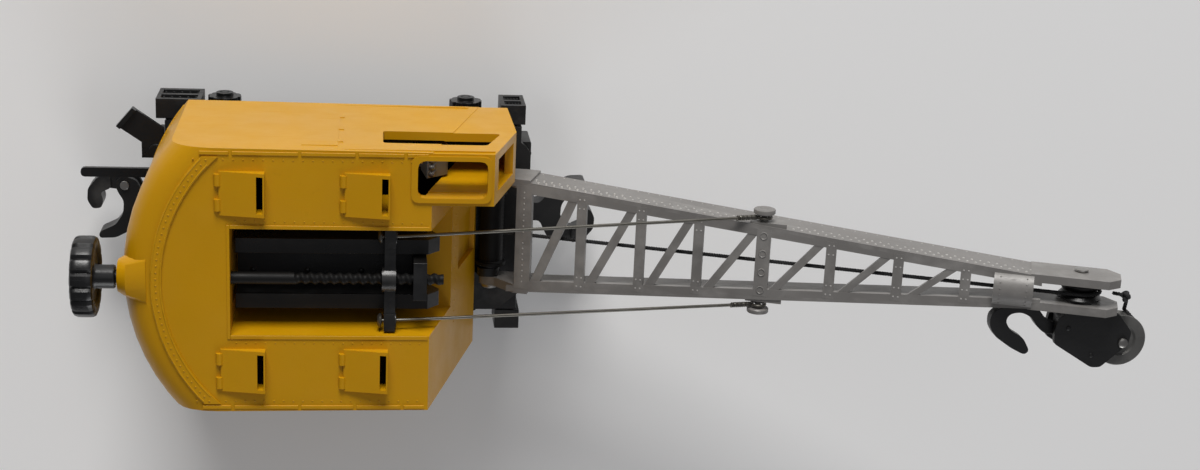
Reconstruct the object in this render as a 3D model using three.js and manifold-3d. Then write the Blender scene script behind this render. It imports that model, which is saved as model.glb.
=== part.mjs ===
import * as THREE from 'three';
import Module from 'manifold-3d';

// Toy rail crane for 31.75 mm gauge track. Millimetres, +Z up, +X along the boom, +Y the
// operator's side. Sizes here count z from the flange bottoms and x and y from the slewing axis;
// add() then drops every piece so that the origin is the centre of the stand pad's underside.

const wasm = await Module();
wasm.setup();
const { Manifold, Mesh } = wasm;

// Driving dimensions
const AXLE_X = 33.7;
const AXLE_Z = 11.2;
const FLANGE_R = 11.2;
const PAD_Z = 3.9;
const TREAD_R = 9.9;
const WHEEL_IN = 14.3;
const WHEEL_OUT = 19.8;
const DECK_TOP = 24.2;
const DECK_BOTTOM = 20.4;
const SILL_IN = 22.4;
const SILL_OUT = 26.8;
const COUPLER_X = 47;
const COUPLER_Z = 12.6;
const CAB_BASE = 31.4;
const ROOF = 83;
const HALF = 34;
const TAIL_R = 54.3;
const WALL = 2.2;
const BAY_IN = 20.6;
const HATCH_X = [-29.9, 0.8];
const RECESS_BACK = -27.4;
const RECESS_HALF = 14;
const RECESS_FLOOR = 60;
const SCREW_Z = 79;
const SCREW_R = 1.6;
const BAR_X = 12.3;
const STAY_Y = 11.2;
const PIVOT = [40.8, 31.5];
const BOOM_ANGLE = 18.63;
const BOOM_FOOT = [59.9, 45.4];
const WEB = 11.6;
const PANELS = [4.6, 21.1, 37, 54.6, 72.8, 90.7, 108.4];
const SHEAVE_S = 138;
const SHEAVE_T = -7.2;
const LINE_R = 0.55;
const BLOCK = [206, -14.4, 80.3];

const YELLOW = 0xe8a820;
const BLACK = 0x1b1b1d;
const SILVER = 0xb9b8b4;
const STEEL = 0x9a9c9e;
const GREY = 0x6d6e68;

// Solids
function toSolid(geometry) {
  const src = geometry.index ? geometry.toNonIndexed() : geometry;
  const pos = src.attributes.position.array;
  const keys = new Map();
  const verts = [];
  const tris = [];
  for (let i = 0; i < pos.length; i += 9) {
    const t = [0, 3, 6].map((o) => {
      const p = [pos[i + o], pos[i + o + 1], pos[i + o + 2]].map((v) => Math.round(v * 1e4) / 1e4);
      const k = p.join();
      if (!keys.has(k)) {
        keys.set(k, verts.length / 3);
        verts.push(...p);
      }
      return keys.get(k);
    });
    if (t[0] !== t[1] && t[1] !== t[2] && t[0] !== t[2]) tris.push(...t);
  }
  return new Manifold(new Mesh({
    numProp: 3,
    vertProperties: new Float32Array(verts),
    triVerts: new Uint32Array(tris),
  }));
}

const join = (...s) => s.flat().reduce((a, b) => a.add(b));
const cut = (a, ...s) => s.flat().reduce((m, b) => m.subtract(b), a);

function box(x0, x1, y0, y1, z0, z1) {
  const g = new THREE.BoxGeometry(x1 - x0, y1 - y0, z1 - z0);
  return toSolid(g.translate((x0 + x1) / 2, (y0 + y1) / 2, (z0 + z1) / 2));
}

const BASES = {
  xy: [[1, 0, 0], [0, 1, 0], [0, 0, 1]],
  xz: [[1, 0, 0], [0, 0, 1], [0, -1, 0]],
  yz: [[0, 1, 0], [0, 0, 1], [1, 0, 0]],
};

// Outline in one plane, pushed along the third axis from lo to hi.
function prism(outline, plane, lo, hi, steps = 3) {
  const points = Array.isArray(outline) ? outline.map((p) => new THREE.Vector2(...p)) : null;
  const shape = points ? new THREE.Shape(points) : outline;
  const g = new THREE.ExtrudeGeometry(shape, { depth: hi - lo, bevelEnabled: false, curveSegments: steps });
  g.translate(0, 0, plane === 'xz' ? -hi : lo);
  const [a, b, c] = BASES[plane].map((v) => new THREE.Vector3(...v));
  return toSolid(g.applyMatrix4(new THREE.Matrix4().makeBasis(a, b, c)));
}

// Outline with every corner rounded by r, or by a radius of its own.
function rounded(points, r) {
  const s = new THREE.Shape();
  const n = points.length;
  points.forEach((p, i) => {
    const [a, b] = [points[(i + n - 1) % n], points[(i + 1) % n]];
    const rr = p[2] ?? r;
    const step = (q) => {
      const d = Math.hypot(q[0] - p[0], q[1] - p[1]);
      const k = Math.min(rr, d * 0.49) / d;
      return [p[0] + (q[0] - p[0]) * k, p[1] + (q[1] - p[1]) * k];
    };
    const [s0, s1] = [step(a), step(b)];
    if (i === 0) s.moveTo(...s0);
    else s.lineTo(...s0);
    if (rr > 0.01) s.quadraticCurveTo(p[0], p[1], ...s1);
  });
  s.closePath();
  return s;
}

// Turned body: profile of [radius, height] pairs about an axis through (c1, c2).
function turned(profile, axis, c1, c2, n = 20) {
  const g = new THREE.LatheGeometry(profile.map((p) => new THREE.Vector2(...p)), n);
  g.rotateX(Math.PI / 2).scale(1, 1, 1);
  if (axis === 'z') g.translate(c1, c2, 0);
  if (axis === 'y') g.rotateX(-Math.PI / 2).translate(c1, 0, c2);
  if (axis === 'x') g.rotateY(Math.PI / 2).translate(0, c1, c2);
  return toSolid(g);
}

const disc = (r, lo, hi) => [[0, lo], [r, lo], [r, hi], [0, hi]];
const rod = (axis, c1, c2, r, lo, hi, n) => turned(disc(r, lo, hi), axis, c1, c2, n);

// Round cord or wire through a list of points, with mitred corners and flat ends.
function wire(points, r, n = 6) {
  const v = points.map((p) => new THREE.Vector3(...p));
  const last = v.length - 1;
  const dir = (i) => v[Math.min(i + 1, last)].clone().sub(v[Math.max(i - 1, 0)]).normalize();
  const u = new THREE.Vector3(0.13, 0.97, 0.21).cross(dir(0)).normalize();
  const pos = [];
  v.forEach((p, i) => {
    const d = dir(i);
    u.sub(d.clone().multiplyScalar(u.dot(d))).normalize();
    const w = d.clone().cross(u);
    for (let k = 0; k < n; k += 1) {
      const a = (2 * Math.PI * k) / n;
      pos.push(p.clone().addScaledVector(u, r * Math.cos(a)).addScaledVector(w, r * Math.sin(a)));
    }
  });
  const tris = [];
  for (let i = 0; i < last; i += 1) {
    for (let k = 0; k < n; k += 1) {
      const [a, b] = [i * n + k, i * n + ((k + 1) % n)];
      tris.push(a, b, b + n, a, b + n, a + n);
    }
  }
  for (let k = 1; k < n - 1; k += 1) tris.push(0, k + 1, k, last * n, last * n + k, last * n + k + 1);
  const g = new THREE.BufferGeometry().setFromPoints(tris.map((i) => pos[i]));
  return toSolid(g);
}

const arc = (cx, cy, r, a0, a1, n) => Array.from({ length: n + 1 }, (_, i) => {
  const a = ((a0 + (a1 - a0) * i / n) * Math.PI) / 180;
  return [cx + r * Math.cos(a), cy + r * Math.sin(a)];
});
const mirrorY = (s) => s.mirror([0, 1, 0]);

const group = new THREE.Group();
group.name = 'rail_crane';

function add(name, solid, color, metalness = 0, roughness = 0.5) {
  const m = solid.translate([0, 0, -PAD_Z]).getMesh();
  const g = new THREE.BufferGeometry();
  g.setAttribute('position', new THREE.BufferAttribute(new Float32Array(m.vertProperties), 3));
  g.setIndex(new THREE.BufferAttribute(new Uint32Array(m.triVerts), 1));
  const flat = g.toNonIndexed();
  flat.computeVertexNormals();
  const mesh = new THREE.Mesh(flat, new THREE.MeshStandardMaterial({ color, metalness, roughness }));
  mesh.name = name;
  group.add(mesh);
}

// Cab shell. The plan has a round tail, straight sides and an operator's bay at the front left.
const tailAngle = (y, r = TAIL_R) => 180 - (Math.asin(y / r) * 180) / Math.PI;
const FRONT_TOP = 22.4;
const FRONT_BASE = 36.4;
const BAY_TOP = 37.9;
const BAY_LIP = [44.8, 59];
const BAY_BASE = 44.2;

function planOutline(inset, front, bay) {
  const h = HALF - inset;
  const r = TAIL_R - inset;
  const a = tailAngle(h, r);
  const pts = arc(0, 0, r + 1, a, 360 - a, 12);
  if (bay) return [...pts, [front, -h], [front, BAY_IN + inset], [bay, BAY_IN + inset], [bay, h]];
  return [...pts, [front, -h], [front, h]];
}

function cabBody(inset) {
  const top = ROOF - inset;
  const low = inset ? CAB_BASE - 5 : CAB_BASE;
  const plan = prism(planOutline(inset, 50, 50), 'xy', low, top);
  const side = prism([[-70, low], [FRONT_BASE - inset, low], [FRONT_BASE - inset, CAB_BASE],
    [FRONT_TOP - inset, ROOF], [FRONT_TOP - inset, top + 1], [-70, top + 1]].filter((p) => p), 'xz', -50, 50);
  const bay = prism([[0, low], [BAY_BASE - inset, low], [BAY_LIP[0] - inset, BAY_LIP[1]],
    [BAY_TOP - inset, ROOF], [BAY_TOP - inset, top + 1], [0, top + 1]], 'xz', BAY_IN + inset, HALF - inset);
  const fillet = 8 - inset;
  const rr = TAIL_R - inset;
  const dome = [[0, low], [rr, low], ...arc(rr - fillet, top - fillet, fillet, 0, 90, 5), [0, top]];
  const tail = turned(dome, 'z', 0, 0, 60);
  const body = plan.intersect(join(side, bay));
  return body.intersect(join(tail, box(-14.6, 60, -50, 50, low, top + 1)));
}

const raised = (x0, x1, y0, y1, z0, z1) => box(x0, x1, y0, y1, z0, z1);

function hatch(x, sign) {
  const [y0, y1] = [17.6, 28.8].map((y) => y * sign).sort((a, b) => a - b);
  const lid = prism([[x, ROOF - 1], [x + 11.2, ROOF - 1], [x + 11.2, ROOF + 2.7], [x, ROOF + 0.5]], 'xz', y0, y1);
  const slot = raised(x + 9.2, x + 10.8, y0 + 0.9, y1 - 0.9, ROOF - 4, ROOF + 5);
  const under = prism([[x + 4, ROOF - 4], [x + 10, ROOF - 4], [x + 10, ROOF + 1.5], [x + 4, ROOF + 0.2]],
    'xz', y0 + 1, y1 - 1);
  const hinges = [20.2, 26.6].map((y) => rod('y', x - 0.3, ROOF + 0.2, 0.9, sign * y - 1.5, sign * y + 1.5, 12));
  return { lid: join(lid, ...hinges), hollow: join(slot, under) };
}

const hatches = HATCH_X.flatMap((x) => [1, -1].map((s) => hatch(x, s)));
const recess = box(RECESS_BACK, 40, -RECESS_HALF, RECESS_HALF, RECESS_FLOOR, ROOF + 5);
const recessShell = cut(
  box(RECESS_BACK - WALL, 34, -RECESS_HALF - WALL, RECESS_HALF + WALL, RECESS_FLOOR - WALL, ROOF - 0.5),
  box(-60, 60, -30, 30, 90, 99),
);
const frontProfile = prism([[-70, CAB_BASE], [FRONT_BASE, CAB_BASE], [FRONT_TOP, ROOF], [-70, ROOF]], 'xz', -50, 50);
const roofWindow = prism(rounded([[18.8, 22.6], [36.2, 22.6], [36.2, 32.2], [18.8, 32.2]], 2), 'xy', ROOF - 5, ROOF + 5);
const roofPad = prism(rounded([[17.2, 21.4], [37.2, 21.4], [37.2, 33.4], [17.2, 33.4]], 2), 'xy', ROOF - 1, ROOF + 0.5);
const sideWindow = prism(rounded([[10.2, 61.5], [40.6, 61.5, 1.6], [36.4, 73.8], [10.2, 73.8]], 1), 'xz', 30, 40);
const windshield = prism([[23.6, 62], [31.8, 62], [31.8, 79], [23.6, 79]], 'yz', 36, 50);
const boss = turned([[0, -55.2], [4.2, -55.2], [5.5, -53], [7.6, -48], [0, -48]], 'x', 0, SCREW_Z - 1.2, 24);
const bossHole = rod('x', 0, SCREW_Z, SCREW_R + 0.35, -60, -20, 16);
const band = cut(turned([[44.2, ROOF - 1], [47, ROOF - 1], [47, ROOF + 0.45], [44.2, ROOF + 0.45]].concat(
  [[44.2, ROOF - 1]]), 'z', 0, 0, 72), box(-16, 70, -70, 70, 70, 99), box(-70, 70, HALF - 1.6, 70, 70, 99),
  box(-70, 70, -70, 1.6 - HALF, 70, 99));
const inner = cut(cabBody(WALL), recessShell);
const doorRecess = prism([[34.6, 33], [37.5, 33], [36, 52], [29.4, 52]], 'xz', -6, 7.5);
const sidePanels = [
  box(-10, -1, 33.5, 34.5, 42.4, 78), box(0.6, 38, 33.5, 34.4, 76.4, 81.4), 
  prism([[2, 36], [33, 36], [22.8, 76], [2, 76]], 'xz', -34.4, -33.5)];
let shell = cut(cabBody(0), inner, recess);
shell = join(shell, ...hatches.map((h) => h.lid), roofPad, band, ...sidePanels, boss);
shell = cut(shell, ...hatches.map((h) => h.hollow), roofWindow, sideWindow, windshield, doorRecess, bossHole);
add('cab_shell', shell, YELLOW, 0, 0.42);

// Black channel lying in the roof recess, with the two guide rails and the front screw bearing.
const railBar = join(
  prism([[-26.6, 61.6], [19, 61.6], [25, 70], [25, 72], [22, 75.4], [-26.6, 75.4]], 'xz', 5.4, 9.3),
);
add('screw_channel', cut(join(
  box(-26.9, 22, -12, 12, RECESS_FLOOR + 0.3, 62.6), railBar, mirrorY(railBar),
  box(18.2, 21.6, -5, 5, 62, 81.6),
), rod('x', 0, SCREW_Z, SCREW_R + 0.4, 10, 30, 16)), BLACK, 0, 0.35);

// Lead screw with its knurled handwheel
const thread = [[0, -60.8], [SCREW_R, -60.8]];
for (let x = -12; x < 24.4; x += 2.4) {
  thread.push([SCREW_R, x], [SCREW_R * 0.72, x + 0.6], [SCREW_R * 0.72, x + 1.1], [SCREW_R, x + 1.7]);
}
thread.push([0, 25.9]);
add('lead_screw', turned(thread, 'x', 0, SCREW_Z, 12), BLACK, 0, 0.35);
const wheelRim = [];
for (let i = 0; i < 64; i += 1) {
  const a = (i * Math.PI) / 32;
  const r = 10.2 - (i % 4 > 2 ? 0.75 : 0);
  wheelRim.push([r * Math.cos(a), SCREW_Z + r * Math.sin(a)]);
}
add('luffing_handwheel', cut(join(
  prism(wheelRim, 'yz', -65.8, -60.2),
  rod('x', 0, SCREW_Z, 3, -61, -55.8, 24),
), cut(rod('x', 0, SCREW_Z, 7.6, -68, -64.2, 32), rod('x', 0, SCREW_Z, 2.6, -68, -63.2, 20)),
rod('x', 0, SCREW_Z, SCREW_R + 0.3, -61.1, -50, 16)), BLACK, 0, 0.45);

// Cross bar riding on the screw, with an eye for each stay at its ends
const eyeEnd = box(BAR_X - 1.4, BAR_X + 1.4, STAY_Y - 2.4, STAY_Y + 2.2, SCREW_Z - 2.3, SCREW_Z + 2.3);
add('cross_bar', cut(join(
  box(BAR_X - 1.4, BAR_X + 1.4, -10, 10, SCREW_Z - 1.9, SCREW_Z + 2), eyeEnd, mirrorY(eyeEnd),
  rod('x', 0, SCREW_Z, 3.4, BAR_X - 2, BAR_X + 1.5, 20),
), rod('x', 0, SCREW_Z, SCREW_R + 0.35, 0, 30, 16),
...[1, -1].map((s) => rod('x', s * STAY_Y, SCREW_Z, 1.5, 0, 30, 16))), BLACK, 0, 0.4);

// Boom, drawn level and then raised about its foot: s runs along it, t is up from its top plane.
const tilt = (s) => s.rotate([0, -BOOM_ANGLE, 0]).translate([BOOM_FOOT[0], 0, BOOM_FOOT[1]]);
const halfWidth = (s) => 14.82 - 0.081 * s;
const toBoom = (x, z) => {
  const a = (BOOM_ANGLE * Math.PI) / 180;
  const [dx, dz] = [x - BOOM_FOOT[0], z - BOOM_FOOT[1]];
  return [dx * Math.cos(a) + dz * Math.sin(a), -dx * Math.sin(a) + dz * Math.cos(a)];
};
const fromBoom = (s, t) => {
  const a = (BOOM_ANGLE * Math.PI) / 180;
  return [BOOM_FOOT[0] + s * Math.cos(a) - t * Math.sin(a), BOOM_FOOT[1] + s * Math.sin(a) + t * Math.cos(a)];
};
const [PIN_S, PIN_T] = toBoom(...PIVOT);
const HEAD_S = 128;
const HEAD_END = 148;
const STAY_S = 54.1;
const STAY_T = -2.2;
const STAY_EYE = 12.3;

function boomSide() {
  const w0 = halfWidth(-16);
  const w1 = halfWidth(HEAD_S);
  const web = prism([[-16, w0 - 1.6], [HEAD_S, w1 - 1.6], [HEAD_S, w1], [-16, w0]], 'xy', -WEB, 0);
  const flange = prism([[-13.8, w0 - 3.4], [HEAD_S, w1 - 2.6], [HEAD_S, w1 - 1], [-13.8, w0 - 1]], 'xy', -1.5, 0);
  const arm = prism(rounded([[PIN_S - 3, PIN_T - 2.6, 2.4], [PIN_S + 3, PIN_T - 3.4], [-14, -WEB], [-10, -WEB],
    [-10, 0], [-14, 0], [PIN_S + 2, PIN_T + 3.2], [PIN_S - 3, PIN_T + 2.6, 2.4]], 0.2), 'xz', w0 - 2.3, w0 + 0.2);
  const cheek = prism([[HEAD_S - 3, -WEB], [HEAD_END - 3.4, -WEB], [HEAD_END, -WEB + 3.4], [HEAD_END, -3],
    [HEAD_END - 3, 0], [HEAD_S - 3, 0]], 'xz', 2.7, 4.9);
  const pad = prism([[STAY_S - 3.4, -4.9], [STAY_S + 5, -4.9], [STAY_S + 6.4, -0.3], [STAY_S - 3.4, -0.3]],
    'xz', halfWidth(STAY_S) - 1.2, halfWidth(STAY_S) + 0.7);
  return join(web, flange, arm, cheek, pad);
}

function lattice() {
  const bars = [];
  const w = (s) => halfWidth(s) - 1;
  bars.push(prism([[-13.8, -w(-12)], [-9.4, -w(-12)], [-9.4, w(-12)], [-13.8, w(-12)]], 'xy', -2, 0.05));
  PANELS.forEach((s, i) => {
    const k = i === 3 ? 1.9 : 1.35;
    bars.push(prism([[s - k, -w(s)], [s + k, -w(s)], [s + k, w(s)], [s - k, w(s)]], 'xy', -1.5, 0.05));
    if (i === 6) return;
    const e = PANELS[i + 1];
    bars.push(prism([[s + 0.6, -w(s)], [s + 3.2, -w(s)], [e - 0.6, w(e)], [e - 3.2, w(e)]], 'xy', -1.4, -0.1));
  });
  bars.push(prism([[-10.2, -w(-10)], [-7.4, -w(-10)], [4, w(4)], [1.4, w(4)]], 'xy', -1.4, -0.1));
  const a = arc(0, -2.4, 5, 18, 162, 8);
  const b = arc(0, -3.6, 5, 162, 18, 8);
  bars.push(prism([...a, ...b], 'yz', 115.7, 125.9));
  return bars;
}
const pinHole = (s, t, r) => rod('y', s, t, r, -20, 20, 20);
add('boom_frame', tilt(cut(join(boomSide(), mirrorY(boomSide()), ...lattice()),
  pinHole(PIN_S, PIN_T, 1.75), pinHole(SHEAVE_S, SHEAVE_T, 1.3),
  ...[1, -1].map((s) => rod('y', STAY_S, STAY_T, 0.95, s > 0 ? 8.6 : -13, s > 0 ? 13 : -8.6, 16)))), SILVER, 0.1, 0.45);

const [SHX, SHZ] = fromBoom(SHEAVE_S, SHEAVE_T);
const groove = (r, rim, half) => [[0, -half], [rim, -half], [rim, -half * 0.8], [r, -0.5], [r, 0.5],
  [rim, half * 0.8], [rim, half], [0, half]];
add('head_sheave', cut(turned(groove(4.6, 5.8, 2.1), 'y', SHX, SHZ, 24), rod('y', SHX, SHZ, 1.35, -5, 5, 16)),
  BLACK, 0, 0.4);
add('sheave_pin', join(rod('y', SHX, SHZ, 1.05, -5, 5, 16), rod('y', SHX, SHZ, 1.9, 5.1, 5.7, 16),
  rod('y', SHX, SHZ, 1.05, 4.9, 5.2, 16)), STEEL, 0.8, 0.35);

// Stay rods, their cap pins on the boom, and the beads behind the cross bar
const ringAt = (x, y, z, R, r) => {
  const path = arc(0, 0, R, 0, 360, 12).slice(0, -1).map(([a, b]) => new THREE.Vector3(x + a, y, z + b));
  const curve = new THREE.CatmullRomCurve3(path, true);
  const shape = new THREE.Shape().absarc(0, 0, r, 0, Math.PI * 2);
  return toSolid(new THREE.ExtrudeGeometry(shape, { steps: 12, extrudePath: curve, curveSegments: 3 }));
};
for (const [side, k] of [['left', 1], ['right', -1]]) {
  const span = (r, lo, hi, n) => rod('y', STAY_S, STAY_T, r, k > 0 ? lo : -hi, k > 0 ? hi : -lo, n);
  add(`stay_cap_${side}`, tilt(join(span(0.8, 9, 13.3, 16), span(2.95, 13.2, 14.6, 28))), SILVER, 0.3, 0.4);
  const [cx, cz] = fromBoom(STAY_S, STAY_T);
  const lean = Math.atan2(SCREW_Z - cz, BAR_X - cx);
  const end = [cx + 1.9 * Math.cos(lean), k * STAY_EYE, cz + 1.9 * Math.sin(lean)];
  const back = [BAR_X - 2.2, k * STAY_Y, SCREW_Z];
  const bead = new THREE.SphereGeometry(1, 8, 6).scale(0.7, 1.9, 1.9);
  add(`stay_rod_${side}`, join(ringAt(cx, k * STAY_EYE, cz, 1.9, 0.42),
    wire([back, [BAR_X + 4, k * STAY_Y, SCREW_Z - 0.5], end], 0.43),
    toSolid(bead.translate(BAR_X - 2.4, k * STAY_Y, SCREW_Z))), STEEL, 0.9, 0.3);
}

// Platform that carries the cab, the boom ears, the boom pin and the hoist drum
const [PX, PZ] = PIVOT;
const ear = prism(rounded([[15, 26], [43.6, 26], [43.6, PZ, 3], [42.6, 34.8, 3], [37.4, 34.8, 2], [36.9, 30.6],
  [15, 30.6]], 0.4), 'xz', 11.4, 13.8);
const floorPlan = (inset, front, bay) => prism(planOutline(inset, front, bay), 'xy', 28.2, 31.1);
add('turntable_platform', cut(join(
  floorPlan(1.2, 35.2, 42.8), rod('z', 0, 0, 21, 24.6, 29, 48),
  box(10, 36.4, -13.8, 13.8, 25.4, 29), ear, mirrorY(ear),
  box(34, 43.6, -12, 12, 25.4, 26.6),
), rod('z', 0, 0, 4.3, 20, 28.9, 24), rod('y', PX, PZ, 1.75, -20, 20, 20)), BLACK, 0.1, 0.45);
add('boom_pivot_pin', join(rod('y', PX, PZ, 1.5, -16.6, 16.6, 16), rod('y', PX, PZ, 2.6, 16.5, 17.6, 20),
  rod('y', PX, PZ, 2.6, -17.6, -16.5, 20)), STEEL, 0.8, 0.35);
add('hoist_drum', cut(turned([[0, -10.8], [4.2, -10.8], [4.2, -9.6], [3.3, -9.5], [3.3, 9.5], [4.2, 9.6], [4.2, 10.8],
  [0, 10.8]], 'y', PX, PZ, 24), rod('y', PX, PZ, 1.8, -12, 12, 16)), BLACK, 0, 0.4);
add('operator_console', join(box(19, 27, 24, 30, 31.5, 58),
  prism(rounded([[20, 58], [27, 58], [27, 63], [21.4, 68]], 0.8), 'xz', 23.4, 30.6)), GREY, 0, 0.6);

// Hoist line held under the lattice bars, over the head sheave and out at the head
const lineStart = [PX + 3.9 * Math.sin((BOOM_ANGLE * -Math.PI) / 180) + 2, PZ + 4.0];
const headArc = arc(SHX, SHZ, 5.25, 90 + BOOM_ANGLE, -12, 8);
add('hoist_line', wire([[lineStart[0], 0, lineStart[1] + 0.75], ...headArc.map(([x, z]) => [x, 0, z])], LINE_R),
  BLACK, 0, 0.7);
const KNOT = fromBoom(HEAD_END + 1.7, -4.2);
add('line_knot', join(toSolid(new THREE.SphereGeometry(1.7, 10, 8).translate(KNOT[0] + 0.4, 0.4, KNOT[1])),
  box(KNOT[0] - 1.6, KNOT[0], -0.9, 0.9, KNOT[1] - 1, KNOT[1] + 1),
  box(KNOT[0] - 2.6, KNOT[0] - 1.2, -2.3, 2.3, KNOT[1] - 1, KNOT[1] + 1)), BLACK, 0, 0.7);

// Hook block, stowed level beside the boom head
const [BX, BY, BZ] = BLOCK;
const PLATE = [[-18.6, 6.2], [-15.8, 8.7], [-2.2, 8.4], [2.2, 3], [1.6, -0.6], [-5.4, -7], [-8, -7], [-18.8, -0.4],
  [-19, 3.4]].map(([x, y]) => [BX + x, BY + y]);
for (const [nm, z0] of [['upper', 2.5], ['lower', -4.1]]) {
  add(`block_plate_${nm}`, cut(prism(rounded(PLATE, 0.8), 'xy', BZ + z0, BZ + z0 + 1.6),
    rod('z', BX, BY, 1.2, 70, 99, 16)), BLACK, 0.1, 0.4);
}
add('block_pulley', cut(turned([[0, BZ - 2.1], [7.1, BZ - 2.1], [7.1, BZ - 1.5], [5.9, BZ - 0.5], [5.9, BZ + 0.5],
  [7.1, BZ + 1.5], [7.1, BZ + 2.1], [0, BZ + 2.1]], 'z', BX, BY, 26), rod('z', BX, BY, 1.35, 70, 99, 16)), GREY, 0.3, 0.5);
add('block_pin', join(rod('z', BX, BY, 1.05, BZ - 4.4, BZ + 4.4, 16), rod('z', BX, BY, 1.6, BZ + 4.3, BZ + 4.8, 16),
  rod('z', BX, BY, 1.6, BZ - 4.8, BZ - 4.3, 16)), STEEL, 0.7, 0.4);
add('block_spacer', box(BX - 17.7, BX - 9.2, BY, BY + 6.6, BZ - 2.35, BZ + 2.35), BLACK, 0.1, 0.4);
const HOOK = [[-18, 4.7], [-19.4, 4.7], [-21.2, 6], [-23.2, 8.6], [-33.8, 8.6], [-36, 6.6], [-36, 3.4], [-34.2, 0.6],
  [-29.6, -2.6], [-25.6, -4.6], [-24.3, -3.4], [-26.4, 0.2], [-30.2, 2.4], [-31.8, 4.9], [-30.8, 6.9], [-27.8, 7.4],
  [-25, 6.2], [-22.8, 3.2], [-20.6, 1.4], [-18, 1.4]].map(([x, y]) => [BX + x, BY + y]);
add('load_hook', prism(rounded(HOOK, 1.2), 'xy', BZ - 1.4, BZ + 1.4, 3), BLACK, 0.1, 0.4);
const wrap = arc(BX, BY, 6.8, 55, -60, 9).map(([x, y]) => [x, y, BZ]);
add('hoist_falls', wire([[BX - 1, -0.6, BZ + 4], ...wrap], LINE_R), BLACK, 0, 0.7);

// Chassis
const sillOutline = rounded([[-49, DECK_TOP], [-49, 17], [-42, 17, 2], [-40, 7.2, 1.5], [-27.4, 7.2, 1.5], [-25, 14, 2],
  [25, 14, 2], [27.4, 7.2, 1.5], [40, 7.2, 1.5], [42, 17, 2], [49, 17], [49, DECK_TOP]], 0.3);
const sill = prism(sillOutline, 'xz', SILL_IN, SILL_OUT);
const journalHoles = [1, -1].map((s) => rod('y', s * AXLE_X, AXLE_Z, 2.6, -40, 40, 20));
const wheelWells = [AXLE_X, -AXLE_X].flatMap((x) => [1, -1].map((s) => rod('y', x, AXLE_Z, FLANGE_R + 1,
  s > 0 ? WHEEL_IN - 0.8 : -WHEEL_OUT - 1.2, s > 0 ? WHEEL_OUT + 1.2 : 0.8 - WHEEL_IN, 24)));
const deck = prism(rounded([[-52, -20], [-44, -27], [44, -27], [51.6, -20], [51.6, 20], [44, 27], [-44, 27], [-52, 20]],
  1.5), 'xy', DECK_BOTTOM, DECK_TOP);
const endBeam = (k) => cut(prism(rounded([[k * 52, -22], [k * 52, 22], [k * 47, 22], [k * 47, -22]]
  .sort((a, b) => Math.atan2(a[1], a[0] - k * 49) - Math.atan2(b[1], b[0] - k * 49)), 0.5), 'xy', 8.4, DECK_BOTTOM + 1),
box(k * 49.5 - 6, k * 49.5 + 6, -9.6, 9.6, 8, 17.4));
const gearCase = prism(rounded([[-27, 20.8], [-27, 12], [-22, 6.4], [22, 6.4], [27, 12], [27, 20.8]], 1), 'xz', -11, 11);
const drawbarPost = (k) => join(box(k * 44 - 6, k * 44 + 6, -4, 4, 17.4, 21));
add('chassis_frame', cut(join(deck, sill, mirrorY(sill), endBeam(1), endBeam(-1), gearCase, drawbarPost(1),
  drawbarPost(-1), rod('z', 0, 0, 3.9, 22, 28.4, 24)), ...journalHoles, ...wheelWells), BLACK, 0.2, 0.5);
add('gear_cover', join(box(-20.5, 20.5, -9.5, 9.5, 4.6, 6.1), box(-8, 8, -6, 6, PAD_Z, 4.8)), BLACK, 0, 0.5);

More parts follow.
